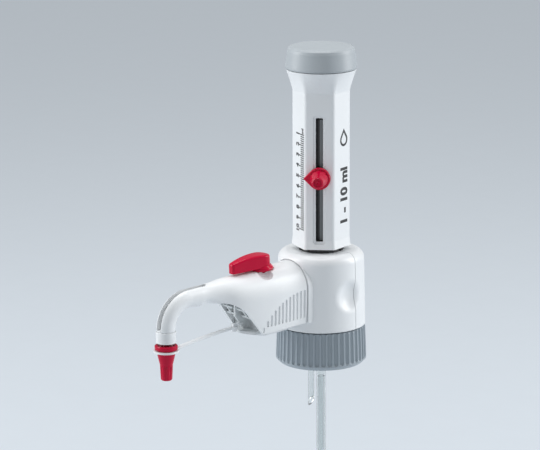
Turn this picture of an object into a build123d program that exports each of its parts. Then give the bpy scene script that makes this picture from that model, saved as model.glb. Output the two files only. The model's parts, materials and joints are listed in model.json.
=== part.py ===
"""Bottle-top dispenser: a hand pump on a bottle collar, with a curved delivery spout.

Frame: +Z is up along the pump, the origin is on the pump's axis at the collar's lower rim,
and the spout points along -X. Lengths are millimetres.
"""
import os
from math import cos, pi, radians, sin, sqrt

from build123d import *

os.makedirs("parts", exist_ok=True)

# ---------------------------------------------------------------- driving dimensions
# bottle collar, for the GL 45 bottle thread
COLLAR_R_LOW = 27.55
COLLAR_R_HIGH = 26.8
COLLAR_TOP = 22.9
COLLAR_BORE_R = 22.75
COLLAR_BORE_TOP = 18.2
COLLAR_NECK_R = 16.0
FLUTE_COUNT = 45
FLUTE_R = 1.5
FLUTE_BOTTOM = 4.2

# valve block
BLOCK_BOTTOM = 23.7
BLOCK_TOP = 70.1
BLOCK_R_LOW = 26.9
BLOCK_R_HIGH = 26.0
BLOCK_WALL_R = 22.6
SHOULDER_R = 5.6
BLOCK_OPENING_R = 13.6
RING_R = 13.3
SPLIT_X = 4.8
SPLIT_GAP = 0.35
DIMPLE_Z = 45.3
DIMPLE_SPHERE_R = 15.0
DIMPLE_DEPTH = 3.2
DIMPLE_EDGE_R = 6.0

# pump column
HOUSING_BOTTOM = 72.7
HOUSING_TOP = 180.6
HOUSING_APOTHEM = 15.24
HOUSING_BORE_R = 13.0
HOUSING_BORE_TOP = 176.6
FLARE_START = 167.5
CAP_R = 21.5
CAP_BOTTOM = 181.0
CAP_TOP = 194.2
SLOT_FACE_DEG = 225.0
SLOT_WIDTH = 4.35
SLOT_BOTTOM = 77.5
SLOT_TOP = 153.0
SLOT_RECESS_WIDTH = 7.3
SLOT_RECESS_DEPTH = 0.7
STRIP_BOTTOM = 77.6
STRIP_TOP = 151.4

# metering: 1 ml is 6.44 mm of piston travel
MM_PER_ML = 6.44
POINTER_Z = 116.6
STUD_R = 1.5
PISTON_R = 6.97
GLASS_R_IN = 7.03
GLASS_R_OUT = 9.0
GLASS_BOTTOM = 61.5
GLASS_TOP = 148.0
SLEEVE_R_IN = 9.2
SLEEVE_R_OUT = 10.4
PISTON_BOTTOM = 65.0
ROD_R = 3.4

# spout: s is the distance from the pump's axis, measured along -X
SPOUT_ROOT = 24.8
SPOUT_FLOOR = 30.7
FLOOR_FALL_DEG = 2.5
SPOUT_REACH = 119.5
BEND_R = 16.0
BEND_Z = 40.5
SPOUT_PIPE_R = 6.0
SPOUT_BEND_R = 5.6
SPOUT_TIP_R = 5.3
SPOUT_WALL = 1.8
TUBE_R = 2.65
TUBE_R_IN = 1.75
TUBE_Z = BEND_Z + BEND_R
TUBE_END = 22.0
TOP_FALL_DEG = 3.2
MOUTH_ARC_S = 85.5
MOUTH_ARC_Z = 29.4
MOUTH_ARC_R = 22.0
MOUTH_SLOPE_DEG = 53.0
PIPE_START = 96.0
BEND_START = SPOUT_REACH - BEND_R

# recirculation lever
LEVER_S = 47.3
LEVER_Z = 65.0
LEVER_ROUND_R = 5.5
LEVER_REACH = 23.2
LEVER_TIP_WIDTH = 4.6
LEVER_BOTTOM = 1.9
LEVER_TOP = 9.9
DISH_FLOOR = -0.7
DISH_R = 7.75
SCOOP_R = 6.1
SPINDLE_R = 4.0

# spout cap and strap
CAP_FLANGE_TOP = 31.2
CAP_FLANGE_R = 6.8
STRAP_RING_TOP = 28.1
STRAP_ANCHOR_S = 68.6
STRAP_ANCHOR_Z = 33.0
ANCHOR_ARM_Z = (33.6, 34.9)

# inlet valve
FILLING_VALVE_R = 5.9
SEAT_BORE_R = 1.3
CHAMBER_R = 3.3
SEAT_BOTTOM = 20.3
SEAT_TOP = 22.3
SEAT_GAP = 0.06
VALVE_BALL_R = 2.5

# tubes that reach into the bottle
UPPER_TUBE_R = 3.0
UPPER_TUBE_R_IN = 2.2
UPPER_TUBE_BOTTOM = -118.0
LOWER_TUBE_R = 2.12
LOWER_TUBE_R_IN = 1.5
LOWER_TUBE_TOP = -10.0
LOWER_TUBE_BOTTOM = -122.0
RECIRCULATION_X = -8.0
RECIRCULATION_END = -27.0


# ---------------------------------------------------------------- small helpers
def rod(radius, low, high):
    """A vertical cylinder between two heights."""
    return Pos(0, 0, (low + high) / 2) * Cylinder(radius, high - low)


def tube(outer, inner, low, high):
    """A vertical tube between two heights."""
    return rod(outer, low, high) - rod(inner, low - 1, high + 1)


def along_spout(radius, near, far, height):
    """A cylinder that lies along the spout, between two distances from the pump's axis."""
    return Pos(-(near + far) / 2, 0, height) * Rot(0, 90, 0) * Cylinder(radius, far - near)


def block_between(x_range, y_range, z_range):
    """A box given by its limits on each axis."""
    size = [high - low for low, high in (x_range, y_range, z_range)]
    middle = [(high + low) / 2 for low, high in (x_range, y_range, z_range)]
    return Pos(*middle) * Box(*size)


def turned(points):
    """A solid of revolution about Z from a closed outline of (radius, height) points."""
    outline = Polyline(*[(r, 0, z) for r, z in points], close=True)
    return revolve(make_face(outline), Axis.Z)


def facet(angle_deg, radius, height):
    """A plane on a column facet: x runs sideways, y runs up and z points out of the facet."""
    angle = radians(angle_deg)
    outward = (cos(angle), sin(angle), 0)
    sideways = (-sin(angle), cos(angle), 0)
    origin = (radius * cos(angle), radius * sin(angle), height)
    return Plane(origin=origin, x_dir=sideways, z_dir=outward)


def save(shape, name):
    """Write one sub-part."""
    export_step(shape, f"parts/{name}.step")


# ---------------------------------------------------------------- bottle collar
def make_bottle_collar():
    rim = 2.4
    side = [(COLLAR_R_LOW - rim, 0), (COLLAR_R_LOW, rim), (COLLAR_R_HIGH, COLLAR_TOP)]
    body = turned([(0, 0), *side, (0, COLLAR_TOP)])
    body = fillet(body.edges().filter_by(GeomType.CIRCLE).group_by(Axis.Z)[0], 1.6)
    top_edge = body.edges().filter_by(GeomType.CIRCLE).group_by(Axis.Z)[-1]
    body = fillet(top_edge, 0.8)
    body -= rod(COLLAR_BORE_R, -1, COLLAR_BORE_TOP)
    body -= rod(COLLAR_NECK_R, 0, COLLAR_TOP + 1)
    depth_r = COLLAR_R_HIGH + 0.45
    lean = (COLLAR_R_LOW - COLLAR_R_HIGH) / COLLAR_TOP
    for index in range(FLUTE_COUNT):
        flute = Pos(0, 0, 12.5) * Cylinder(FLUTE_R, 25)
        flute += Sphere(FLUTE_R)
        flute = Pos(depth_r + 0.55, 0, FLUTE_BOTTOM) * Rot(0, -lean * 180 / pi, 0) * flute
        body -= Rot(0, 0, 360 / FLUTE_COUNT * index) * flute
    return body


# ---------------------------------------------------------------- valve block
def block_shell():
    """The block's outer skin, a drum with a rounded shoulder and a soft thumb rest on each side."""
    slope = [(BLOCK_R_LOW, BLOCK_BOTTOM), (BLOCK_R_HIGH, BLOCK_TOP)]
    drum = turned([(0, BLOCK_BOTTOM), *slope, (0, BLOCK_TOP)])
    dimple_offset = (BLOCK_R_LOW + BLOCK_R_HIGH) / 2 + DIMPLE_SPHERE_R - DIMPLE_DEPTH
    for side in (-1, 1):
        drum -= Pos(0, side * dimple_offset, DIMPLE_Z) * Sphere(DIMPLE_SPHERE_R)
    drum = fillet(drum.edges().filter_by(GeomType.BSPLINE), DIMPLE_EDGE_R)
    drum = fillet(drum.edges().filter_by(GeomType.CIRCLE).group_by(Axis.Z)[-1], SHOULDER_R)
    drum = fillet(drum.edges().filter_by(GeomType.CIRCLE).group_by(Axis.Z)[0], 0.5)
    return drum - rod(BLOCK_OPENING_R, BLOCK_TOP - 10, BLOCK_TOP + 1)


def block_cavity():
    """The room inside the skin for the core."""
    inner = rod(BLOCK_WALL_R, BLOCK_BOTTOM - 1, BLOCK_TOP - 4.0)
    return fillet(inner.edges().filter_by(GeomType.CIRCLE).group_by(Axis.Z)[-1], 4.0)


def arch(half_width, low, high, near, far):
    """A round-topped prism that stands out from the block towards the spout."""
    centre = high - half_width
    with BuildSketch(Plane(origin=(-near, 0, 0), x_dir=(0, -1, 0), z_dir=(-1, 0, 0))) as sketch:
        with BuildLine():
            Line((-half_width, centre), (-half_width, low))
            Line((-half_width, low), (half_width, low))
            Line((half_width, low), (half_width, centre))
            ThreePointArc((half_width, centre), (0, high), (-half_width, centre))
        make_face()
    return extrude(sketch.sketch, far - near)


def make_block_covers():
    shell = block_shell()
    band = arch(16.6, 30.9, 67.4, 20, SPOUT_ROOT - 0.5)
    outer_face = band.faces().sort_by(Axis.X)[0]
    band = fillet(outer_face.edges(), 0.5)
    shell += band
    shell -= arch(16.45, SPOUT_FLOOR - 0.5, 67.25, SPOUT_ROOT - 0.5, 40)
    shell -= block_cavity()
    shell -= along_spout(6.2, 10, SPOUT_ROOT + 1, TUBE_Z)
    big = 80
    front_side = block_between((-big, SPLIT_X - SPLIT_GAP / 2), (-big, big), (0, big * 1.2))
    rear_side = block_between((SPLIT_X + SPLIT_GAP / 2, big), (-big, big), (0, big * 1.2))
    rear = shell & rear_side
    rear -= Pos(BLOCK_R_LOW, 0, 34) * Rot(0, 90, 0) * Cylinder(5.2, 12)
    return shell & front_side, rear


def make_air_vent_cap():
    cap = Pos(BLOCK_R_LOW - 1.2, 0, 34) * Rot(0, 90, 0) * Cylinder(5.0, 5.4)
    return fillet(cap.edges().filter_by(GeomType.CIRCLE).group_by(Axis.X)[-1], 0.8)


def make_valve_block_core():
    outline = [
        (0, 16.0),
        (21.0, 16.0),
        (21.0, 17.9),
        (15.6, 17.9),
        (15.6, 24.0),
        (21.5, 24.0),
        (21.5, 29.0),
        (13.3, 29.0),
        (13.3, 66.0),
        (0, 66.0),
    ]
    body = turned(outline)
    body += along_spout(5.5, 10, SPOUT_ROOT - 0.3, TUBE_Z)
    body -= rod(FILLING_VALVE_R + 0.05, 15, 34.0)
    body -= rod(2.4, 33, 53)
    body -= rod(6.0, 52, GLASS_BOTTOM + 1)
    body -= rod(GLASS_R_OUT + 0.03, GLASS_BOTTOM, 67)
    body -= rod(SLEEVE_R_OUT + 0.03, 64.0, 67)
    body -= along_spout(2.2, 3, SPOUT_ROOT + 1, TUBE_Z)
    body -= Pos(RECIRCULATION_X, 0, 0) * rod(1.2, 10, 44)
    return body


def make_safety_ring():
    body = tube(RING_R, SLEEVE_R_OUT + 0.05, 66.05, HOUSING_BOTTOM - 0.4)
    top_edges = body.edges().filter_by(GeomType.CIRCLE).group_by(Axis.Z)[-1]
    body = chamfer(top_edges.sort_by(SortBy.LENGTH)[-1], 0.6)
    notch = block_between((RING_R - 0.7, RING_R + 1), (-1.2, 1.2), (HOUSING_BOTTOM - 2.4, HOUSING_BOTTOM))
    for index in range(12):
        body -= Rot(0, 0, 15 + 30 * index) * notch
    return body


def make_sealing_washer():
    return tube(20.8, 12.2, 14.4, 15.9)


# ---------------------------------------------------------------- filling side
def make_filling_valve_body():
    """The screw-in inlet valve: a knurled foot, a nozzle for the tube and a conical ball seat."""
    body = rod(FILLING_VALVE_R, 11.6, 33.0)
    body += rod(UPPER_TUBE_R_IN - 0.05, -2.0, 12)
    body -= rod(SEAT_BORE_R, -3, 40)
    body -= rod(CHAMBER_R, SEAT_TOP, 34.0)
    body -= turned([(0, SEAT_BOTTOM), (SEAT_BORE_R, SEAT_BOTTOM), (CHAMBER_R, SEAT_TOP), (0, SEAT_TOP)])
    for index in range(8):
        body -= Rot(0, 0, 45 * index) * Pos(FILLING_VALVE_R + 0.4, 0, 12.0) * Cylinder(0.9, 6)
    return body


def make_filling_valve_seal():
    return tube(FILLING_VALVE_R - 0.3, CHAMBER_R + 0.1, 33.05, 33.95)


def make_filling_valve_ball():
    apex = SEAT_BOTTOM - SEAT_BORE_R
    return Pos(0, 0, apex + (VALVE_BALL_R + SEAT_GAP) * sqrt(2)) * Sphere(VALVE_BALL_R)


def make_filling_tube_upper():
    return tube(UPPER_TUBE_R, UPPER_TUBE_R_IN, UPPER_TUBE_BOTTOM, 8.0)


def make_filling_tube_lower():
    body = tube(LOWER_TUBE_R, LOWER_TUBE_R_IN, LOWER_TUBE_BOTTOM, LOWER_TUBE_TOP)
    return body - Pos(0, 0, LOWER_TUBE_BOTTOM) * Rot(0, 30, 0) * Pos(0, 0, -5) * Box(20, 20, 10)


def make_recirculation_tube():
    body = tube(1.95, 1.2, RECIRCULATION_END, 15.9)
    body -= Pos(-1.95, 0, RECIRCULATION_END) * Rot(0, -55, 0) * Pos(0, 0, -5) * Box(20, 20, 10)
    return Pos(RECIRCULATION_X, 0, 0) * body


# ---------------------------------------------------------------- pump column
def hexagon_wire(height, apothem, corner_r, bulge=0.0):
    """Six sides joined by six corner arcs; bulge bows each side outwards."""
    corner_reach = apothem / cos(pi / 6)
    cut = corner_r * sin(pi / 6) / cos(pi / 6)
    first = SLOT_FACE_DEG + 30
    edges = []
    for index in range(6):
        angle = radians(first + 60 * index)
        back = radians(first + 60 * index - 120)
        ahead = radians(first + 60 * index + 120)
        corner = (corner_reach * cos(angle), corner_reach * sin(angle))
        start = (corner[0] + cut * cos(back), corner[1] + cut * sin(back))
        end = (corner[0] + cut * cos(ahead), corner[1] + cut * sin(ahead))
        tip_r = corner_reach - corner_r / cos(pi / 6) + corner_r
        tip = (tip_r * cos(angle), tip_r * sin(angle))
        edges.append((start, tip, end))
    wire_edges = []
    for index, (start, tip, end) in enumerate(edges):
        wire_edges.append(ThreePointArc((*start, height), (*tip, height), (*end, height)))
        next_start = edges[(index + 1) % 6][0]
        side = radians(first + 60 * index + 30)
        reach = apothem + bulge
        middle = (reach * cos(side), reach * sin(side), height)
        if bulge:
            wire_edges.append(ThreePointArc((*end, height), middle, (*next_start, height)))
        else:
            wire_edges.append(Line((*end, height), (*next_start, height)))
    return Wire(wire_edges)


def column_prism(apothem, corner_r, low, high):
    """A straight length of the column."""
    return extrude(Face(hexagon_wire(low, apothem, corner_r)), high - low, dir=(0, 0, 1))


def column_outside():
    """The column: a hexagon with soft edges that opens into a round collar at the top."""
    corner_r = 2.6
    foot = Solid.make_loft(
        [
            hexagon_wire(HOUSING_BOTTOM, HOUSING_APOTHEM + 0.55, corner_r),
            hexagon_wire(HOUSING_BOTTOM + 5.2, HOUSING_APOTHEM, corner_r),
        ],
        True,
    )
    shaft = column_prism(HOUSING_APOTHEM, corner_r, HOUSING_BOTTOM + 5.2, FLARE_START)
    return foot + shaft + column_flare(corner_r)


def column_flare(corner_r):
    """The flare from the hexagon to the round top, almost straight from a soft edge."""
    steps = 5
    sections = [hexagon_wire(FLARE_START, HOUSING_APOTHEM, corner_r)]
    round_r = CAP_R - 0.25
    for step in range(1, steps + 1):
        share = step / steps
        grow = share ** 1.15
        height = FLARE_START + (HOUSING_TOP - FLARE_START) * share
        side_r = HOUSING_APOTHEM + (round_r - HOUSING_APOTHEM) * grow
        sections.append(rounded_section(height, side_r, grow, corner_r, round_r))
    return Solid.make_loft(sections, False)


def rounded_section(height, side_r, grow, corner_r, round_r):
    """A flare section: the hexagon's twelve joints moved part of the way to the round rim."""
    first = SLOT_FACE_DEG + 30
    corner_reach = HOUSING_APOTHEM / cos(pi / 6)
    cut = corner_r * sin(pi / 6) / cos(pi / 6)
    joint_x = corner_reach - cut * cos(pi / 3)
    joint_y = cut * sin(pi / 3)
    joint_r = sqrt(joint_x ** 2 + joint_y ** 2)
    joint_turn = joint_y / joint_x
    tip_r = corner_reach - corner_r / cos(pi / 6) + corner_r
    joint_now = joint_r + (round_r - joint_r) * grow
    tip_now = tip_r + (round_r - tip_r) * grow
    edges = []
    for index in range(6):
        angle = radians(first + 60 * index)
        following = radians(first + 60 * (index + 1))
        side = radians(first + 60 * index + 30)
        start = polar(joint_now, angle - joint_turn, height)
        tip = polar(tip_now, angle, height)
        end = polar(joint_now, angle + joint_turn, height)
        edges.append(ThreePointArc(start, tip, end))
        far = polar(joint_now, following - joint_turn, height)
        edges.append(ThreePointArc(end, polar(side_r, side, height), far))
    return Wire(edges)


def polar(radius, angle, height):
    """A point from its distance and direction about the pump's axis."""
    return (radius * cos(angle), radius * sin(angle), height)


def slot_prism(width, low, high, outer, inner, corner):
    """A rounded slot cut square to the slotted facet."""
    plane = facet(SLOT_FACE_DEG, inner, (low + high) / 2)
    return extrude(plane * RectangleRounded(width, high - low, corner), outer - inner)


def make_pump_housing():
    body = column_outside()
    body -= rod(HOUSING_BORE_R, HOUSING_BOTTOM - 1, HOUSING_BORE_TOP)
    body += tube(18.3, 16.5, HOUSING_TOP - 1, HOUSING_TOP + 3.6)
    body -= rod(ROD_R + 0.05, HOUSING_BORE_TOP - 1, HOUSING_TOP + 1)
    body -= slot_prism(SLOT_WIDTH, SLOT_BOTTOM, SLOT_TOP, 20, 8, 0.7)
    margin = (SLOT_RECESS_WIDTH - SLOT_WIDTH) / 2
    recess_floor = HOUSING_APOTHEM - SLOT_RECESS_DEPTH
    body -= slot_prism(SLOT_RECESS_WIDTH, SLOT_BOTTOM - margin, SLOT_TOP + margin, 20, recess_floor, 1.6)
    return body


def make_toothed_track():
    """The track beside the slot, with a tooth for each 0.2 ml step of the clamp."""
    low = 81.0
    high = 151.0
    pitch = MM_PER_ML / 5
    rail = block_between((10.9, 13), (4.7, 6.1), (low, high)) & rod(HOUSING_BORE_R - 0.03, low, high)
    notch = Rot(0, 0, 45) * Box(0.5, 0.5, 8)
    notch = Rot(0, 90, 0) * notch
    for index in range(int((high - low) / pitch)):
        rail -= Pos(12, 4.7, low + pitch * (index + 0.5)) * notch
    return Rot(0, 0, SLOT_FACE_DEG) * rail


def make_guide_strip():
    """The strip up the front of the sleeve, seen through one half of the slot."""
    strip = block_between((9.9, 10.85), (-0.1, 2.0), (STRIP_BOTTOM, STRIP_TOP))
    return Rot(0, 0, SLOT_FACE_DEG) * (strip - rod(SLEEVE_R_OUT + 0.01, STRIP_BOTTOM - 1, STRIP_TOP + 1))


def make_top_cap():
    outline = [
        (0, CAP_BOTTOM),
        (CAP_R - 0.15, CAP_BOTTOM),
        (CAP_R, CAP_BOTTOM + 1.0),
        (CAP_R - 0.3, CAP_BOTTOM + 3.6),
        (CAP_R - 0.8, CAP_BOTTOM + 7.4),
        (CAP_R - 1.2, CAP_BOTTOM + 10.4),
        (CAP_R - 1.7, CAP_TOP - 1.2),
        (CAP_R - 2.6, CAP_TOP - 0.35),
        (CAP_R - 3.9, CAP_TOP),
        (0, CAP_TOP),
    ]
    body = turned(outline)
    return body - rod(18.6, CAP_BOTTOM - 1, CAP_TOP - 2.8)


def make_rod_holder():
    return tube(HOUSING_BORE_R - 0.05, ROD_R, 160.0, 176.5)


def make_piston_rod():
    return rod(ROD_R, PISTON_BOTTOM + 8.0, 184.0) + rod(6.0, 180.7, 184.0)


def make_piston():
    return rod(PISTON_R - 0.45, PISTON_BOTTOM + 1.0, PISTON_BOTTOM + 8.0)


def make_piston_seal():
    body = rod(PISTON_R, PISTON_BOTTOM - 0.6, PISTON_BOTTOM + 1.0)
    return chamfer(body.edges().filter_by(GeomType.CIRCLE).group_by(Axis.Z)[0], 0.4)


def make_glass_cylinder():
    return tube(GLASS_R_OUT, GLASS_R_IN, GLASS_BOTTOM, GLASS_TOP)


def make_cylinder_sleeve():
    return tube(SLEEVE_R_OUT, SLEEVE_R_IN, 64.0, 151.5)


# ---------------------------------------------------------------- volume stop
def teardrop(radius, nose):
    """A circle with a right-angled nose that points sideways."""
    square = Rectangle(radius, radius, align=(Align.MIN, Align.MIN))
    pointed = Circle(radius) + Rot(0, 0, -45) * square
    return fillet(pointed.vertices().sort_by(Axis.X)[-1], (radius * sqrt(2) - nose) / (sqrt(2) - 1))


def make_volume_pointer():
    plane = facet(SLOT_FACE_DEG, HOUSING_APOTHEM + 0.25, POINTER_Z)
    outline = Rot(0, 0, 180) * teardrop(6.7, 9.35)
    plate = extrude(plane * outline, 2.2)
    outward = Axis((0, 0, 0), tuple(plane.z_dir))
    plate = fillet(plate.faces().sort_by(outward)[-1].edges(), 0.7)
    lug_plane = facet(SLOT_FACE_DEG, 12.9, POINTER_Z)
    plate += extrude(lug_plane * Rectangle(SLOT_WIDTH - 0.25, 8.0), HOUSING_APOTHEM + 0.4 - 12.9)
    plate -= extrude(facet(SLOT_FACE_DEG, 10, POINTER_Z) * Circle(STUD_R + 0.06), 12)
    return plate


def make_clamp_nut():
    """The sliding nut inside the housing that the thumb screw pulls against the wall."""
    half_height = 4.0
    plane = facet(SLOT_FACE_DEG, 10.0, POINTER_Z)
    block = extrude(plane * RectangleRounded(8.4, 2 * half_height, 0.8), 3.2)
    block &= tube(12.75, 11.1, POINTER_Z - half_height - 1, POINTER_Z + half_height + 1)
    return block - extrude(facet(SLOT_FACE_DEG, 9, POINTER_Z) * Circle(STUD_R + 0.06), 6)


def make_thumb_screw():
    face = 29.45
    base = HOUSING_APOTHEM + 2.6
    outline = [
        (0, 11.2),
        (STUD_R, 11.2),
        (STUD_R, base),
        (5.3, base),
        (5.3, base + 1.2),
        (4.75, base + 3.2),
        (4.1, base + 6.0),
        (3.45, face - 0.5),
        (3.0, face),
        (2.3, face),
        (2.1, face - 0.5),
        (1.6, face - 0.5),
        (1.4, face - 0.1),
        (0.8, face - 0.3),
        (0, face - 0.9),
    ]
    body = turned(outline)
    groove = block_between((5.0, 6.4), (-0.45, 0.45), (base - 1, base + 1.6))
    for index in range(10):
        body -= Rot(0, 0, 36 * index) * groove
    return facet(SLOT_FACE_DEG, 0, POINTER_Z).location * body


# ---------------------------------------------------------------- spout
def top_height(distance):
    """The height of the spout cover's crest."""
    return 66.75 - sin(radians(TOP_FALL_DEG)) * (distance - SPOUT_ROOT)


def cover_section(distance, half_width, top, depth, skin):
    """One closed section: a round crown over long elliptical sides, drawn in by skin."""
    half = half_width - skin
    plane = Plane(origin=(-distance, 0, top - half_width), x_dir=(0, -1, 0), z_dir=(-1, 0, 0))
    quarters = []
    for start, height in ((0, half), (90, half), (180, depth - skin), (270, depth - skin)):
        quarters.append(Edge.make_ellipse(half, height, plane, start, start + 90))
    return Wire(quarters)


def cover_loft(skin, count):
    """The first sections of the cover's arched body, drawn in by skin on every side."""
    pipe_top = TUBE_Z + SPOUT_PIPE_R
    sections = [
        (SPOUT_ROOT - skin, 15.9, top_height(SPOUT_ROOT), 80.0),
        (42.0, 15.5, top_height(42.0), 76.0),
        (58.0, 14.9, top_height(58.0), 66.0),
        (70.5, 12.9, top_height(70.5), 48.0),
        (79.0, 9.6, top_height(79.0), 22.0),
        (87.0, 7.0, pipe_top + 0.35, 6.3),
        (PIPE_START, SPOUT_PIPE_R, pipe_top, SPOUT_PIPE_R),
    ]
    return Solid.make_loft([cover_section(*section, skin) for section in sections[:count]], False)


def spout_bend(radius):
    """A quarter turn of pipe, from level to straight down."""
    plane = Plane(origin=(-BEND_START, 0, TUBE_Z), z_dir=(1, 0, 0))
    return revolve(plane * Circle(radius), Axis((-BEND_START, 0, BEND_Z), (0, -1, 0)), 90)


def pipe_taper(near_r, far_r):
    """The level stretch of the pipe, from the arched body to the bend."""
    far_end = Plane((-BEND_START, 0, TUBE_Z), z_dir=(1, 0, 0))
    return Solid.make_cone(far_r, near_r, BEND_START - PIPE_START, far_end)


def spout_drop(radius, low, high):
    """A vertical length of pipe on the spout's tip axis."""
    return Pos(-SPOUT_REACH, 0, 0) * rod(radius, low, high)


def tilted_with_floor(shape):
    """A level shape under the spout, tilted as the spout's floor is."""
    root = Pos(-SPOUT_ROOT, 0, SPOUT_FLOOR)
    return root * Rot(0, -FLOOR_FALL_DEG, 0) * root.inverse() * shape


def mouth_cutter(radius):
    """The concave mouth under the cover: an arc that runs out in a straight slope."""
    slope = block_between((0, 40), (-30, 30), (0, radius))
    place = Pos(-MOUTH_ARC_S, 0, MOUTH_ARC_Z)
    return place * (Rot(90, 0, 0) * Cylinder(radius, 60) + Rot(0, MOUTH_SLOPE_DEG, 0) * slope)


def cover_half_width(distance):
    """The cover's half width, where the grooves are cut."""
    return 15.9 - 0.017 * (distance - SPOUT_ROOT) - 0.0004 * (distance - SPOUT_ROOT) ** 2


def grip_grooves():
    """Twelve upright grooves on one side, cut off by an arc that falls away from the block."""
    groove_depth = 1.05
    first = 26.6
    pitch = 2.79
    groove_width = 1.35
    arc_r = 39.6
    arc_s = 23.85
    arc_z = 12.0
    grooves = None
    for index in range(12):
        distance = first + pitch * index
        high = arc_z + sqrt(arc_r ** 2 - (distance - arc_s) ** 2)
        low = min(34.2 - 0.11 * index, high - 3.0)
        side = groove_depth - cover_half_width(distance)
        plane = Plane(origin=(-distance, side, (low + high) / 2), x_dir=(1, 0, 0), z_dir=(0, -1, 0))
        cutter = extrude(plane * SlotOverall(high - low, groove_width, rotation=90), 4)
        grooves = cutter if grooves is None else grooves + cutter
    return grooves


def lever_frame(lift=0.0):
    """A plane square to the lever's spindle: x points at the spout's tip and z along the spindle."""
    lean = radians(TOP_FALL_DEG)
    normal = (-sin(lean), 0, cos(lean))
    origin = (-LEVER_S + lift * normal[0], 0, LEVER_Z + lift * normal[2])
    return Plane(origin=origin, x_dir=(-cos(lean), 0, -sin(lean)), z_dir=normal)


def lever_dish():
    """The shallow seat under the lever's flange, and the hole for the lever's neck."""
    seat = rod(DISH_R, DISH_FLOOR, 20)
    return lever_frame().location * (seat + rod(SPINDLE_R + 0.3, -15, 5))


def finger_scoops(radius):
    """A round scoop on each side of the seat, where a finger gets under the lever."""
    near = Pos(3.0, 9.0, 1.7) * Sphere(radius)
    far = Pos(3.0, -9.0, 1.7) * Sphere(radius)
    return lever_frame().location * (near + far)


def tube_slit():
    """The narrow window along the outside of the bend that shows the tube."""
    half = 1.8
    end = 91.5
    ring = Cylinder(BEND_R + 12, 2 * half) - Cylinder(BEND_R + 1, 4)
    ring = Pos(-BEND_START, 0, BEND_Z) * Rot(90, 0, 0) * ring
    ring &= block_between((-140, -BEND_START), (-5, 5), (BEND_Z, 90))
    straight = block_between((-BEND_START, -end), (-half, half), (TUBE_Z + 1.0, 75))
    return ring + straight + Pos(-end, 0, 0) * rod(half, TUBE_Z + 1.0, 75)


def cover_outside():
    """The cover without its hollow: arched body, tapering pipe, bend and drop."""
    arched = cover_loft(0.0, 7) - mouth_cutter(MOUTH_ARC_R)
    arched -= tilted_with_floor(block_between((-85, 0), (-30, 30), (-40, SPOUT_FLOOR)))
    neck = 39.4
    drop = Solid.make_cone(SPOUT_TIP_R, SPOUT_BEND_R, BEND_Z - neck, Plane((-SPOUT_REACH, 0, neck)))
    drop += spout_drop(SPOUT_TIP_R, 33.6, neck)
    return arched + pipe_taper(SPOUT_PIPE_R, SPOUT_BEND_R) + spout_bend(SPOUT_BEND_R) + drop


def make_spout_cover():
    outside = cover_outside()
    bowl = lever_frame().location * rod(DISH_R + 2.0, DISH_FLOOR - 1.5, 6)
    bowl += finger_scoops(SCOOP_R + 1.2)
    body = outside - cover_loft(SPOUT_WALL, 5)
    body += bowl & outside
    bore_r = TUBE_R + 0.3
    body -= along_spout(bore_r, 70, BEND_START, TUBE_Z)
    body -= spout_bend(bore_r)
    body -= spout_drop(bore_r, 20, BEND_Z)
    body -= lever_dish()
    body -= finger_scoops(SCOOP_R)
    body -= tube_slit()
    grooves = grip_grooves()
    body -= grooves
    return body - mirror(grooves, Plane.XZ)


def frame_sides():
    """Deck, cross ribs and steps on both sides of the middle web."""
    low = SPOUT_FLOOR - 3
    deck_z = (47.9, 49.5)
    sides = block_between((-76.0, -27.0), (-13.5, 13.5), deck_z)
    for distance in (34.0, 46.0, 57.0):
        sides += block_between((-distance - 0.8, -distance + 0.8), (-13.5, 13.5), (low, deck_z[1]))
    for left, right in ((2.6, 13.5), (-13.5, -2.6)):
        sides += block_between((-67.0, -56.5), (left, right), (38.6, 40.2))
        sides += block_between((-70.0, -56.5), (left, right), (43.4, 45.0))
    for middle in (-7.4, 7.4):
        sides += block_between((-68.0, -56.5), (middle - 0.8, middle + 0.8), (38.6, deck_z[1]))
    return sides - mouth_cutter(MOUTH_ARC_R + 0.8)


def make_spout_frame():
    """The ribbed carrier inside the cover that holds the valve and the tube."""
    low = SPOUT_FLOOR - 3
    web = block_between((-68.0, -27.0), (-0.8, 0.8), (low, 49.5)) - mouth_cutter(MOUTH_ARC_R - 2.0)
    floor = block_between((-66.0, -26.0), (-13.5, 13.5), (SPOUT_FLOOR, SPOUT_FLOOR + 1.7))
    front = Pos(-46.0, 0, SPOUT_FLOOR) * Cylinder(19.3, 10)
    floor &= front + block_between((-50.0, -26.0), (-14, 14), (SPOUT_FLOOR, SPOUT_FLOOR + 2))
    frame = frame_sides() + web + tilted_with_floor(floor)
    frame -= tilted_with_floor(block_between((-85, 0), (-30, 30), (-40, SPOUT_FLOOR + 0.05)))
    frame &= cover_loft(SPOUT_WALL + 0.35, 5)
    frame -= block_between((-70, -62.0), (-1, 1), (ANCHOR_ARM_Z[0] - 0.05, ANCHOR_ARM_Z[1] + 0.05))
    return frame - block_between((-45.2, -36.8), (-4.7, 4.7), (20, 44))


def make_discharge_valve_body():
    """The level valve barrel, with the upright seat for the recirculation plug at its end."""
    body = along_spout(5.4, SPOUT_ROOT + 0.2, 37.5, TUBE_Z)
    body += along_spout(4.2, 37, 46.0, TUBE_Z) + along_spout(3.6, 45, 59.0, TUBE_Z)
    body += lever_frame().location * rod(5.9, -14.3, -5.6)
    body -= along_spout(1.5, 20, 29.0, TUBE_Z)
    body -= along_spout(2.9, 28.9, 42.5, TUBE_Z)
    body -= along_spout(1.4, 40, 60.0, TUBE_Z)
    body -= along_spout(TUBE_R + 0.02, 57.0, 60.0, TUBE_Z)
    body -= lever_frame().location * Pos(0, 0, -6.0) * Cylinder(SPINDLE_R + 0.05, 13.0)
    return body


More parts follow.
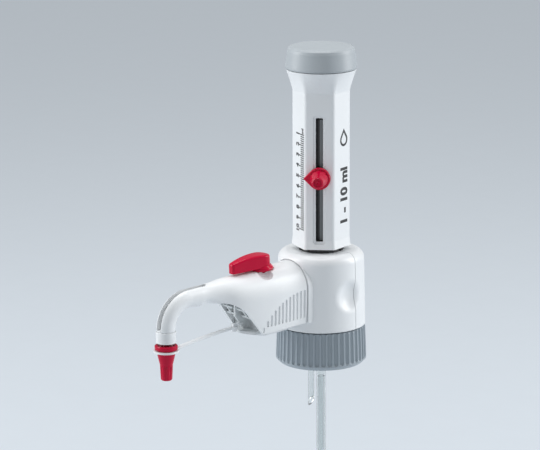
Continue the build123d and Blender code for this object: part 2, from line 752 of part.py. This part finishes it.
def make_discharge_valve_ball():
    seat_s = 28.9
    orifice_r = 1.5
    rest = seat_s + sqrt(VALVE_BALL_R ** 2 - orifice_r ** 2) + 0.08
    return Pos(-rest, 0, TUBE_Z) * Sphere(VALVE_BALL_R)


def make_discharge_valve_spring():
    turns = 6
    radius = 2.1
    wire_r = 0.28
    length = 8.1
    coil = Helix(length / turns, length, radius)
    section = Plane(origin=coil @ 0, z_dir=coil % 0) * Circle(wire_r)
    wire = sweep(section, path=coil)
    return Pos(-33.95, 0, TUBE_Z) * Rot(0, -90, 0) * wire


def make_discharge_tube():
    bend_outer = spout_bend(TUBE_R)
    body = along_spout(TUBE_R, 57.1, BEND_START, TUBE_Z) + bend_outer + spout_drop(TUBE_R, TUBE_END, BEND_Z)
    body -= along_spout(TUBE_R_IN, 50, BEND_START, TUBE_Z)
    body -= spout_bend(TUBE_R_IN)
    body -= spout_drop(TUBE_R_IN, TUBE_END - 1, BEND_Z)
    return body


def make_tip_collar():
    body = tube(5.95, SPOUT_TIP_R + 0.25, 33.4, 39.3)
    body += tube(5.95, TUBE_R + 0.25, 32.7, 33.4)
    top_edges = body.edges().filter_by(GeomType.CIRCLE).group_by(Axis.Z)[-1]
    body = fillet(top_edges.sort_by(SortBy.LENGTH)[-1], 0.25)
    return Pos(-SPOUT_REACH, 0, 0) * body


# ---------------------------------------------------------------- recirculation lever
def make_recirculation_lever():
    tip_half = LEVER_TIP_WIDTH / 2
    lean = radians(8)
    side = (LEVER_ROUND_R * sin(lean), LEVER_ROUND_R * cos(lean))
    tip = (LEVER_REACH, tip_half)
    plan = Circle(LEVER_ROUND_R)
    plan += make_face(Polyline(side, tip, (tip[0], -tip[1]), (side[0], -side[1]), close=True))
    arm = Pos(0, 0, LEVER_BOTTOM) * extrude(plan, LEVER_TOP - LEVER_BOTTOM)
    crown_r = 60
    arm &= Pos(7.5, 0, LEVER_TOP - crown_r) * Rot(90, 0, 0) * Cylinder(crown_r, 40)
    arm = fillet(arm.edges().filter_by(Axis.Z), 1.5)
    arm = fillet(arm.faces().sort_by(Axis.Z)[-1].edges(), 1.3)
    flange = turned([(0, -0.3), (6.6, -0.3), (7.2, 0.2), (7.3, 1.0), (7.0, 1.6), (5.9, 2.8), (0, 2.8)])
    return lever_frame().location * (arm + flange + rod(SPINDLE_R, -2.45, 0))


def make_recirculation_plug():
    plug = Pos(0, 0, -7.45) * Cylinder(SPINDLE_R, 9.9)
    bore_depth = (LEVER_Z - TUBE_Z) / cos(radians(TOP_FALL_DEG))
    bore = Pos(0, 0, -bore_depth) * Rot(0, 90, 0) * Cylinder(1.4, 12)
    return lever_frame().location * (plug - bore)


# ---------------------------------------------------------------- spout lock
def make_locking_slide():
    plane = Plane.XY.offset(SPOUT_FLOOR - 3.3)
    half = 9.2
    with BuildSketch(plane) as sketch:
        with BuildLine():
            Line((-33, -half), (-52.0, -half))
            ThreePointArc((-52.0, -half), (-56.3, 0), (-52.0, half))
            Line((-52.0, half), (-33, half))
            Line((-33, half), (-33, -half))
        make_face()
    plate = extrude(sketch.sketch, 2.3)
    plate = fillet(plate.edges().filter_by(Axis.Z), 2.5)
    plate = fillet(plate.faces().sort_by(Axis.Z)[0].edges(), 0.6)
    stem = block_between((-44.9, -37.1), (-4.4, 4.4), (28.2, 41.5))
    return tilted_with_floor(plate) + stem


# ---------------------------------------------------------------- spout cap
def make_tip_cap():
    outline = [
        (0, 10.0),
        (2.9, 10.0),
        (3.4, 10.6),
        (3.85, 19.5),
        (4.3, 21.2),
        (5.5, 26.3),
        (5.6, 28.5),
        (CAP_FLANGE_R - 0.4, 28.5),
        (CAP_FLANGE_R, 28.9),
        (CAP_FLANGE_R, 30.7),
        (CAP_FLANGE_R - 0.5, CAP_FLANGE_TOP),
        (5.1, CAP_FLANGE_TOP),
        (4.4, 29.4),
        (2.95, 27.6),
        (2.95, 13.0),
        (0, 12.2),
    ]
    body = turned(outline)
    for index in range(8):
        flute = Rot(0, 0, 45 * index) * Pos(4.55, 0, 13.0) * Cylinder(1.25, 11.0)
        body -= flute
    return Pos(-SPOUT_REACH, 0, 0) * body


def make_cap_strap():
    ring = Pos(-SPOUT_REACH, 0, 0) * tube(7.5, 5.95, STRAP_RING_TOP - 1.1, STRAP_RING_TOP)
    start = -SPOUT_REACH + 7.2
    end = -STRAP_ANCHOR_S - 1.6
    low = STRAP_RING_TOP - 1.05
    high = STRAP_ANCHOR_Z - 1.0
    middle = (low + high) / 2 + 0.5
    with BuildSketch(Plane.XZ) as sketch:
        with BuildLine():
            Line((start, low), (start, low + 1.3))
            ThreePointArc((start, low + 1.3), ((start + end) / 2, middle + 1.3), (end, high + 1.3))
            Line((end, high + 1.3), (end, high))
            ThreePointArc((end, high), ((start + end) / 2, middle), (start, low))
        make_face()
    band = extrude(sketch.sketch, 1.35, both=True)
    eye = Pos(-STRAP_ANCHOR_S, 0, 0) * tube(2.2, 1.25, high - 0.1, high + 1.3)
    return ring + band + eye


def make_strap_anchor():
    body = rod(1.15, STRAP_ANCHOR_Z - 2.6, STRAP_ANCHOR_Z + 1.9)
    body += rod(1.75, STRAP_ANCHOR_Z - 2.6, STRAP_ANCHOR_Z - 1.3)
    body = Pos(-STRAP_ANCHOR_S, 0, 0) * body
    return body + block_between((-STRAP_ANCHOR_S - 1, -62.1), (-0.8, 0.8), ANCHOR_ARM_Z)


# ---------------------------------------------------------------- all sub-parts
front_cover, rear_cover = make_block_covers()
PARTS = {
    "bottle_collar": make_bottle_collar(),
    "sealing_washer": make_sealing_washer(),
    "valve_block_core": make_valve_block_core(),
    "block_front_cover": front_cover,
    "block_rear_cover": rear_cover,
    "air_vent_cap": make_air_vent_cap(),
    "safety_ring": make_safety_ring(),
    "filling_valve_body": make_filling_valve_body(),
    "filling_valve_seal": make_filling_valve_seal(),
    "filling_valve_ball": make_filling_valve_ball(),
    "filling_tube_upper": make_filling_tube_upper(),
    "filling_tube_lower": make_filling_tube_lower(),
    "recirculation_tube": make_recirculation_tube(),
    "glass_cylinder": make_glass_cylinder(),
    "cylinder_sleeve": make_cylinder_sleeve(),
    "guide_strip": make_guide_strip(),
    "pump_housing": make_pump_housing(),
    "toothed_track": make_toothed_track(),
    "rod_holder": make_rod_holder(),
    "piston_rod": make_piston_rod(),
    "piston": make_piston(),
    "piston_seal": make_piston_seal(),
    "top_cap": make_top_cap(),
    "volume_pointer": make_volume_pointer(),
    "clamp_nut": make_clamp_nut(),
    "thumb_screw": make_thumb_screw(),
    "spout_cover": make_spout_cover(),
    "spout_frame": make_spout_frame(),
    "discharge_valve_body": make_discharge_valve_body(),
    "discharge_valve_ball": make_discharge_valve_ball(),
    "discharge_valve_spring": make_discharge_valve_spring(),
    "discharge_tube": make_discharge_tube(),
    "tip_collar": make_tip_collar(),
    "recirculation_lever": make_recirculation_lever(),
    "recirculation_plug": make_recirculation_plug(),
    "locking_slide": make_locking_slide(),
    "tip_cap": make_tip_cap(),
    "cap_strap": make_cap_strap(),
    "strap_anchor": make_strap_anchor(),
}

for node, shape in PARTS.items():
    save(shape, node)
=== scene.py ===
"""Looks of the bottle-top dispenser: materials, printed scale, bottle thread and studio."""
import json
from math import cos, pi, radians, sin, tan

import bmesh
import bpy
from mathutils import Matrix, Vector


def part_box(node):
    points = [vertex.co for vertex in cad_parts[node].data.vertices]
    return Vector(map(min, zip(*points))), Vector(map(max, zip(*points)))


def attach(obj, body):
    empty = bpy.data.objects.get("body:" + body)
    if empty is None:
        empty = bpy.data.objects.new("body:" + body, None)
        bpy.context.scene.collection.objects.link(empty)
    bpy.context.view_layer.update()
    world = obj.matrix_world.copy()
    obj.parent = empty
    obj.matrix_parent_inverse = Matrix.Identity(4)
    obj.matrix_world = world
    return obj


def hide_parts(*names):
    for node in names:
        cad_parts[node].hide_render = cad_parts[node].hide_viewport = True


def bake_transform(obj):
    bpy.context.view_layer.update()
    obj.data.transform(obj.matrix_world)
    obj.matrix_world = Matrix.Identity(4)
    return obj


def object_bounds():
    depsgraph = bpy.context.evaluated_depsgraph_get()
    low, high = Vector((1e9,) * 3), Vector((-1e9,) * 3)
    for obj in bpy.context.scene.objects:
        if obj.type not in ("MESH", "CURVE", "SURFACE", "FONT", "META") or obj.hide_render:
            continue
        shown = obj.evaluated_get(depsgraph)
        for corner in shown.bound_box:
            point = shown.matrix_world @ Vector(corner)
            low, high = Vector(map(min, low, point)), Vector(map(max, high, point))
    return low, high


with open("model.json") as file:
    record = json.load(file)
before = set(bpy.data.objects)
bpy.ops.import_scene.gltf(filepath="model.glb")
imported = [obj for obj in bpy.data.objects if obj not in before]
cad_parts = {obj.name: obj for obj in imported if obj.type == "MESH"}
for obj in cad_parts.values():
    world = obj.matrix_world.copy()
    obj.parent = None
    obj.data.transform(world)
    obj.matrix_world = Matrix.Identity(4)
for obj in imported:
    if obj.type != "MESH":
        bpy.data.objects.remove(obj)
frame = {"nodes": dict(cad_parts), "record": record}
cad_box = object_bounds()
scene = bpy.context.scene
nodes = frame["nodes"]
MM = 0.001


# ---------------------------------------------------------------- material building blocks
RAMP_ENDS = (0.3, 0.7)


class Shader:
    """One procedural material, built node by node in object space. Noise scales count per metre."""

    def __init__(self, name):
        self.material = bpy.data.materials.new(name)
        self.material.use_nodes = True
        self.tree = self.material.node_tree
        self.principled = self.tree.nodes["Principled BSDF"]
        self.place = self.tree.nodes.new("ShaderNodeTexCoord").outputs["Object"]

    def plain(self, **values):
        for name, value in values.items():
            self.principled.inputs[name.replace("_", " ")].default_value = value
        return self

    def noise(self, scale, detail, stretch=(1, 1, 1)):
        mapping = self.tree.nodes.new("ShaderNodeMapping")
        mapping.inputs["Scale"].default_value = stretch
        self.tree.links.new(self.place, mapping.inputs["Vector"])
        texture = self.tree.nodes.new("ShaderNodeTexNoise")
        texture.inputs["Scale"].default_value = scale
        texture.inputs["Detail"].default_value = detail
        self.tree.links.new(mapping.outputs["Vector"], texture.inputs["Vector"])
        return texture.outputs["Fac"]

    def ramp(self, factor, low, high):
        node = self.tree.nodes.new("ShaderNodeValToRGB")
        for element, place, color in zip(node.color_ramp.elements, RAMP_ENDS, (low, high)):
            element.position = place
            element.color = (*color, 1)
        self.tree.links.new(factor, node.inputs["Fac"])
        return node.outputs["Color"]

    def color(self, output):
        self.tree.links.new(output, self.principled.inputs["Base Color"])

    def rough(self, factor, low, high):
        node = self.tree.nodes.new("ShaderNodeMapRange")
        node.inputs["To Min"].default_value = low
        node.inputs["To Max"].default_value = high
        self.tree.links.new(factor, node.inputs["Value"])
        self.tree.links.new(node.outputs["Result"], self.principled.inputs["Roughness"])

    def bump(self, factor, strength, depth, edge=0.0):
        """A fine skin, over edges that catch the light as if rounded to the edge radius."""
        node = self.tree.nodes.new("ShaderNodeBump")
        if edge:
            rounded = self.tree.nodes.new("ShaderNodeBevel")
            rounded.samples = 6
            rounded.inputs["Radius"].default_value = edge
            self.tree.links.new(rounded.outputs["Normal"], node.inputs["Normal"])
        node.inputs["Strength"].default_value = strength
        node.inputs["Distance"].default_value = depth
        self.tree.links.new(factor, node.inputs["Height"])
        self.tree.links.new(node.outputs["Normal"], self.principled.inputs["Normal"])


LONG_MOTTLES = (1, 1, 0.45)
UPRIGHT_LINES = (1, 1, 0.05)
LEVEL_RINGS = (0.1, 0.1, 1)
FINE_LINE_DEPTH = 0.02 * MM
EVEN_RADIUS = (1.0, 1.0, 1.0)


def shade(color, factor):
    return tuple(min(1.0, channel * factor) for channel in color)


def moulded(name, color, rough, spread, grain=2600, grain_depth=0.03 * MM, strength=0.25,
            edge=0.3 * MM, **values):
    """Injection-moulded plastic: faint flow mottling, uneven gloss and a fine skin.

    spread is how far the mottling strays from the colour, and grain how many bumps a metre holds.
    """
    shader = Shader(name).plain(**values)
    flow = shader.noise(38, 4, LONG_MOTTLES)
    shader.color(shader.ramp(flow, shade(color, 1 - spread), shade(color, 1 + spread)))
    shader.rough(shader.noise(150, 3), rough - 0.06, rough + 0.07)
    shader.bump(shader.noise(grain, 2), strength, grain_depth, edge)
    return shader.material


def clear(name, color, rough, ior):
    """A clear or milky see-through wall with faint upright drawing lines."""
    shader = Shader(name).plain(Transmission_Weight=1.0, IOR=ior)
    streaks = shader.noise(900, 2, UPRIGHT_LINES)
    shader.color(shader.ramp(streaks, shade(color, 0.96), color))
    shader.rough(shader.noise(120, 3), rough, rough + 0.08)
    shader.bump(streaks, 0.12, FINE_LINE_DEPTH)
    return shader.material


def turned_metal(name, color, rough):
    """Bright metal with fine rings round its upright axis."""
    shader = Shader(name).plain(Metallic=1.0)
    rings = shader.noise(1400, 2, LEVEL_RINGS)
    shader.color(shader.ramp(rings, shade(color, 0.9), color))
    shader.rough(rings, rough, rough + 0.12)
    shader.bump(rings, 0.15, FINE_LINE_DEPTH)
    return shader.material


MATERIALS = {
    "white_shell": moulded("white_shell", (0.80, 0.82, 0.835), rough=0.36, spread=0.012,
                           Coat_Weight=0.25, Coat_Roughness=0.22, Subsurface_Weight=0.06,
                           Subsurface_Radius=EVEN_RADIUS, Subsurface_Scale=1.2 * MM),
    "collar_grey": moulded("collar_grey", (0.32, 0.37, 0.41), rough=0.36, spread=0.05, grain=1800,
                           Coat_Weight=0.15, Coat_Roughness=0.3),
    "cap_grey": moulded("cap_grey", (0.40, 0.435, 0.46), rough=0.42, spread=0.03, grain=1800),
    "dark_plastic": moulded("dark_plastic", (0.022, 0.024, 0.026), rough=0.34, spread=0.15),
    "strip_grey": moulded("strip_grey", (0.21, 0.225, 0.235), rough=0.32, spread=0.08),
    "insert_grey": moulded("insert_grey", (0.60, 0.63, 0.64), rough=0.42, spread=0.02),
    "red_plastic": moulded("red_plastic", (0.51, 0.001, 0.034), rough=0.3, spread=0.05,
                           grain_depth=0.02 * MM, strength=0.15, Coat_Weight=0.28,
                           Coat_Roughness=0.06, Specular_IOR_Level=0.08),
    "glass": clear("glass", (0.93, 0.97, 0.96), rough=0.02, ior=1.47),
    "clear_tube": clear("clear_tube", (0.93, 0.95, 0.95), rough=0.16, ior=1.35),
    "ptfe": moulded("ptfe", (0.82, 0.82, 0.80), rough=0.48, spread=0.02, grain=900,
                    Subsurface_Weight=0.2, Subsurface_Radius=EVEN_RADIUS, Subsurface_Scale=2 * MM),
    "ceramic": moulded("ceramic", (0.84, 0.82, 0.76), rough=0.14, spread=0.02, grain=900),
    "steel": turned_metal("steel", (0.62, 0.63, 0.65), rough=0.24),
}
INK = moulded("printed_ink", (0.018, 0.019, 0.021), rough=0.5, spread=0.2, edge=0)


def wear(obj, slot):
    """Puts the slot's material on the object in place of what it had."""
    obj.data.materials.clear()
    obj.data.materials.append(MATERIALS[slot])


def dress_cad_nodes():
    """Gives every CAD node the procedural material of its record slot."""
    slots = {part["node"]: part["material_slot"] for part in frame["record"]["subparts"]}
    for name, obj in nodes.items():
        wear(obj, slots[name])


# ---------------------------------------------------------------- new pieces
def add_piece(name, mesh, material, body):
    """Adds a piece that the CAD model doesn't have, and lets it ride on a body."""
    obj = bpy.data.objects.new(name, mesh)
    scene.collection.objects.link(obj)
    mesh.materials.append(material)
    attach(obj, body)


COLUMN_APOTHEM = 15.24 * MM
INK_THICKNESS = 0.03 * MM
SCALE_FACET = 165           # degrees round the column, as LABEL_FACET
LABEL_FACET = 285
FULL_VOLUME = 10            # ml, as the other volumes
POINTER_VOLUME = 5.0
POINTER_HEIGHT = 116.6 * MM
HEIGHT_PER_ML = 6.44 * MM
SCALE_RIGHT = 7.8 * MM      # the marks' right-hand ends, from the facet's middle line
TICKS_PER_ML = 5
TICK_HALF_WIDTH = 0.33 * MM
LONG_TICK = 6.8 * MM
SHORT_TICK = 4.4 * MM
NUMBER_SIZE = 4.7 * MM
NUMBER_MIDDLE = SCALE_RIGHT - 8.4 * MM
UNIT_SIZE = 3.4 * MM
UNIT_MIDDLE = SCALE_RIGHT - 1.8 * MM
UNIT_VOLUME = 0.66          # "ml" stands just above the 1 ml mark
LABEL_SIZE = 9.8 * MM
LABEL_MIDDLE = 2.2 * MM
LABEL_HEIGHT = 104 * MM
DROP_MIDDLE = 1.6 * MM
DROP_HEIGHT = 138.5 * MM
DROP_OUTER_RADIUS = 3.9 * MM
DROP_INNER_RADIUS = 2.5 * MM


def facet_frame(degrees, distance, height):
    """A frame on a column facet: x to the viewer's right, y up, z outward."""
    angle = radians(degrees)
    outward = Vector((cos(angle), sin(angle), 0))
    right = Vector((-sin(angle), cos(angle), 0))
    up = Vector((0, 0, 1))
    place = Matrix((right, up, outward)).transposed().to_4x4()
    place.translation = outward * distance + up * height
    return place


def facet_place(degrees, across, height):
    """A frame on the straight column's facet, so far to the right of its middle line."""
    return facet_frame(degrees, COLUMN_APOTHEM, height) @ Matrix.Translation((across, 0, 0))


def add_bar(bm, place, x_span, y_span, thickness):
    """One thin printed bar, as a shallow box."""
    corners = []
    for z in (0, thickness):
        for x, y in ((0, 0), (1, 0), (1, 1), (0, 1)):
            corners.append(bm.verts.new(place @ Vector((x_span[x], y_span[y], z))))
    for face in ((3, 2, 1, 0), (4, 5, 6, 7), (0, 1, 5, 4), (1, 2, 6, 5), (2, 3, 7, 6), (3, 0, 4, 7)):
        bm.faces.new([corners[index] for index in face])


def volume_height(volume):
    """Where the pointer's nose stands for a volume: the highest mark is 1 ml."""
    return POINTER_HEIGHT + (POINTER_VOLUME - volume) * HEIGHT_PER_ML


def make_scale_marks():
    mesh = bpy.data.meshes.new("scale_marks")
    bm = bmesh.new()
    place = facet_frame(SCALE_FACET, COLUMN_APOTHEM, 0)
    for tick in range(TICKS_PER_ML, FULL_VOLUME * TICKS_PER_ML + 1):
        height = volume_height(tick / TICKS_PER_ML)
        length = SHORT_TICK if tick % TICKS_PER_ML else LONG_TICK
        height_span = (height - TICK_HALF_WIDTH, height + TICK_HALF_WIDTH)
        add_bar(bm, place, (SCALE_RIGHT - length, SCALE_RIGHT), height_span, INK_THICKNESS)
    bm.to_mesh(mesh)
    bm.free()
    add_piece("scale_marks", mesh, INK, "pump")


def print_text(name, text, size, place, bold=0.05):
    """Thin printed characters that read up the column, as a mesh, centred on place."""
    curve = bpy.data.curves.new(name, "FONT")
    curve.body = text
    curve.size = size
    curve.align_x = "CENTER"
    curve.align_y = "CENTER"
    curve.extrude = INK_THICKNESS / 2
    curve.offset = size * bold
    curve.resolution_u = 3
    maker = bpy.data.objects.new(name, curve)
    scene.collection.objects.link(maker)
    bpy.context.view_layer.update()
    depsgraph = bpy.context.evaluated_depsgraph_get()
    mesh = bpy.data.meshes.new_from_object(maker.evaluated_get(depsgraph))
    bpy.data.objects.remove(maker)
    mesh.name = name
    mesh.transform(Matrix.Translation((0, 0, INK_THICKNESS / 2)))
    mesh.transform(place @ Matrix.Rotation(radians(90), 4, "Z"))
    mesh.materials.clear()
    add_piece(name, mesh, INK, "pump")


def make_scale_numbers():
    for volume in range(1, FULL_VOLUME + 1):
        place = facet_place(SCALE_FACET, NUMBER_MIDDLE, volume_height(volume))
        print_text(f"scale_number_{volume}", str(volume), NUMBER_SIZE, place)
    place = facet_place(SCALE_FACET, UNIT_MIDDLE, volume_height(UNIT_VOLUME))
    print_text("scale_unit", "ml", UNIT_SIZE, place)


def make_label():
    """A plain drop sign and the volume range, on the facet right of the slot."""
    middle = facet_place(LABEL_FACET, LABEL_MIDDLE, LABEL_HEIGHT)
    print_text("label_range", "1 - 10 ml", LABEL_SIZE, middle, bold=0.045)
    mesh = bpy.data.meshes.new("label_drop")
    bm = bmesh.new()
    place = facet_place(LABEL_FACET, DROP_MIDDLE, DROP_HEIGHT)
    rings = []
    for radius in (DROP_OUTER_RADIUS, DROP_INNER_RADIUS):
        for height in (0, INK_THICKNESS):
            rings.append([bm.verts.new(place @ Vector((x, y, height))) for x, y in drop_outline(radius)])
    outer_low, outer_high, inner_low, inner_high = rings
    walls = ((outer_low, outer_high), (outer_high, inner_high),
             (inner_high, inner_low), (inner_low, outer_low))
    count = len(outer_low)
    for index in range(count):
        after = (index + 1) % count
        for first, second in walls:
            bm.faces.new((first[index], first[after], second[after], second[index]))
    bmesh.ops.recalc_face_normals(bm, faces=bm.faces)
    bm.to_mesh(mesh)
    bm.free()
    add_piece("label_drop", mesh, INK, "pump")


def drop_outline(radius):
    """A drop: a round belly that narrows to a point above it."""
    steps = 48
    sharpness = 6
    points = []
    for step in range(steps):
        angle = 2 * pi * step / steps
        pull = max(0.0, sin(angle)) ** sharpness
        narrowing = 1 - 0.55 * pull
        rise = 0.75 * pull
        points.append((radius * cos(angle) * narrowing, radius * (sin(angle) + rise)))
    return points


def make_bottle_thread():
    """The collar's internal round thread, nearly two turns, which fades out at both ends."""
    turns = 1.9
    pitch = 4 * MM
    bore_r = 22.8 * MM
    crest_r = 21.5 * MM
    start_z = 3.2 * MM
    steps = 190
    fades_per_length = 9
    end_width = 0.4
    # The section, as shares of the way to the crest and millimetres along the axis.
    profile = ((0, -1.5), (0.35, -1.1), (1, -0.45), (1, 0.45), (0.35, 1.1), (0, 1.5))
    bm = bmesh.new()
    rings = []
    for step in range(steps + 1):
        share = step / steps
        angle = 2 * pi * turns * share
        rise = min(1.0, share * fades_per_length, (1 - share) * fades_per_length)
        width = end_width + (1 - end_width) * rise
        ring = []
        for depth, offset in profile:
            radius = bore_r - (bore_r - crest_r) * depth * rise
            height = start_z + pitch * turns * share + offset * MM * width
            ring.append(bm.verts.new((radius * cos(angle), radius * sin(angle), height)))
        rings.append(ring)
    for before, after in zip(rings, rings[1:]):
        for low in range(len(profile) - 1):
            bm.faces.new((before[low], before[low + 1], after[low + 1], after[low]))
        bm.faces.new((before[-1], before[0], after[0], after[-1]))
    bm.faces.new(rings[0])
    bm.faces.new(reversed(rings[-1]))
    bmesh.ops.recalc_face_normals(bm, faces=bm.faces)
    mesh = bpy.data.meshes.new("bottle_thread_ridge")
    bm.to_mesh(mesh)
    bm.free()
    mesh.shade_smooth()
    add_piece("bottle_thread_ridge", mesh, MATERIALS["collar_grey"], "collar")


CUT_TOLERANCE = 1e-7
STRAP_ANCHOR_LENGTH = 4.6 * MM
STRAP_RING_LENGTH = 15.0 * MM
STRAP_CUT_STEP = 2.0 * MM


def bendable_copy(node, name, cuts=()):
    """The node's own shape, cut across at each x in cuts."""
    bm = bmesh.new()
    bm.from_mesh(nodes[node].data)
    for cut_x in cuts:
        geometry = bm.verts[:] + bm.edges[:] + bm.faces[:]
        bmesh.ops.bisect_plane(bm, geom=geometry, dist=CUT_TOLERANCE,
                               plane_co=(cut_x, 0, 0), plane_no=(1, 0, 0))
    mesh = bpy.data.meshes.new(name)
    bm.to_mesh(mesh)
    bm.free()
    obj = bpy.data.objects.new(name, mesh)
    scene.collection.objects.link(obj)
    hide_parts(node)
    return obj


def make_bending_strap():
    """The cap's strap, as a copy cut across between its anchor under the spout and its ring on the cap.
    """
    low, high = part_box("cap_strap")
    anchor_x = high.x - STRAP_ANCHOR_LENGTH
    ring_x = low.x + STRAP_RING_LENGTH
    count = int((anchor_x - ring_x) / STRAP_CUT_STEP)
    cuts = [ring_x + index * STRAP_CUT_STEP for index in range(1, count)]
    strap = bendable_copy("cap_strap", "cap_strap_bending", cuts)
    wear(strap, "white_shell")
    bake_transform(strap)


def make_bending_spring():
    """The outlet valve's spring, as a copy of its node without cuts."""
    spring = bendable_copy("discharge_valve_spring", "outlet_spring_bending")
    wear(spring, "steel")
    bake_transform(spring)


# ---------------------------------------------------------------- studio
FLOOR_GAP = 0.5 * MM
FLOOR_SIZE = 12
LIT_MIDDLE = (-0.03, 0, 0.08)
# Each soft light: its name, its place, width and height in metres, and its watts.
LIGHTS = (
    ("key_left", (-0.80, 0.72, 0.55), 0.5, 1.1, 10.5),
    ("key_right", (0.86, -0.60, 0.50), 0.45, 1.1, 10),
    ("top_soft", (0.05, 0.1, 1.25), 0.8, 0.8, 8.5),
    ("front_fill", (-1.0, -0.95, 0.25), 0.5, 0.5, 1.5),
)


def build_floor():
    mesh = bpy.data.meshes.new("studio_floor")
    bm = bmesh.new()
    bmesh.ops.create_grid(bm, x_segments=8, y_segments=8, size=FLOOR_SIZE)
    bm.to_mesh(mesh)
    bm.free()
    floor = bpy.data.objects.new("studio_floor", mesh)
    floor.location = (0, 0, cad_box[0][2] - FLOOR_GAP)
    scene.collection.objects.link(floor)
    mesh.materials.append(moulded("studio_paper", (0.27, 0.295, 0.32), rough=0.75, spread=0.01, grain=300,
                                  edge=0, Emission_Color=(0.84, 0.91, 0.98, 1), Emission_Strength=0.40))


def build_world():
    """An even pale light from all round. The camera itself sees a brighter plain grey there."""
    world = bpy.data.worlds.new("studio")
    world.use_nodes = True
    tree = world.node_tree
    lighting = tree.nodes["Background"]
    lighting.inputs["Color"].default_value = (0.65, 0.685, 0.715, 1)
    lighting.inputs["Strength"].default_value = 0.42
    seen = tree.nodes.new("ShaderNodeBackground")
    seen.inputs["Color"].default_value = (0.40, 0.43, 0.46, 1)
    camera_ray = tree.nodes.new("ShaderNodeLightPath").outputs["Is Camera Ray"]
    blend = tree.nodes.new("ShaderNodeMixShader")
    tree.links.new(camera_ray, blend.inputs["Fac"])
    tree.links.new(lighting.outputs["Background"], blend.inputs[1])
    tree.links.new(seen.outputs["Background"], blend.inputs[2])
    tree.links.new(blend.outputs["Shader"], tree.nodes["World Output"].inputs["Surface"])
    scene.world = world


def add_light(name, place, width, height, watts):
    """A soft rectangle of light, turned towards the middle of the object."""
    light = bpy.data.lights.new(name, "AREA")
    light.shape = "RECTANGLE"
    light.size = width
    light.size_y = height
    light.energy = watts
    obj = bpy.data.objects.new(name, light)
    scene.collection.objects.link(obj)
    obj.location = place
    obj.rotation_euler = (Vector(LIT_MIDDLE) - Vector(place)).to_track_quat("-Z", "Y").to_euler()


CAMERA_AZIMUTH = radians(229.0135)
CAMERA_DISTANCE = 1.684         # from the pump's axis, in metres
CAMERA_HEIGHT = 0.4807
CAMERA_PITCH = radians(12.74)
TURN_LEFT = radians(1.0226)     # how far left of the pump's axis the view's middle is
TURN_DOWN = radians(0.5003)     # how far below the pitch the view's middle is
SENSOR_WIDTH = 36               # in millimetres, as the lens
LENS = 190.857


def build_camera():
    """The photograph's view: from the spout's near side, a little above, with a long lens."""
    outward = Vector((cos(CAMERA_AZIMUTH), sin(CAMERA_AZIMUTH), 0))
    position = outward * CAMERA_DISTANCE + Vector((0, 0, CAMERA_HEIGHT))
    forward = -outward * cos(CAMERA_PITCH) - Vector((0, 0, sin(CAMERA_PITCH)))
    right = forward.cross(Vector((0, 0, 1))).normalized()
    up = right.cross(forward)
    aim = forward - right * tan(TURN_LEFT) - up * tan(TURN_DOWN)
    backward = -aim.normalized()
    side = up.cross(backward).normalized()
    turn = Matrix((side, backward.cross(side), backward)).transposed().to_4x4()
    turn.translation = position
    data = bpy.data.cameras.new("photo_view")
    data.sensor_width = SENSOR_WIDTH
    data.lens = LENS
    data.clip_start = 0.05
    data.clip_end = 60
    camera = bpy.data.objects.new("photo_view", data)
    scene.collection.objects.link(camera)
    camera.matrix_world = turn
    scene.camera = camera


dress_cad_nodes()
make_scale_marks()
make_scale_numbers()
make_label()
make_bottle_thread()
make_bending_strap()
make_bending_spring()
build_floor()
build_world()
for light_settings in LIGHTS:
    add_light(*light_settings)
build_camera()
scene.view_settings.view_transform = "Standard"
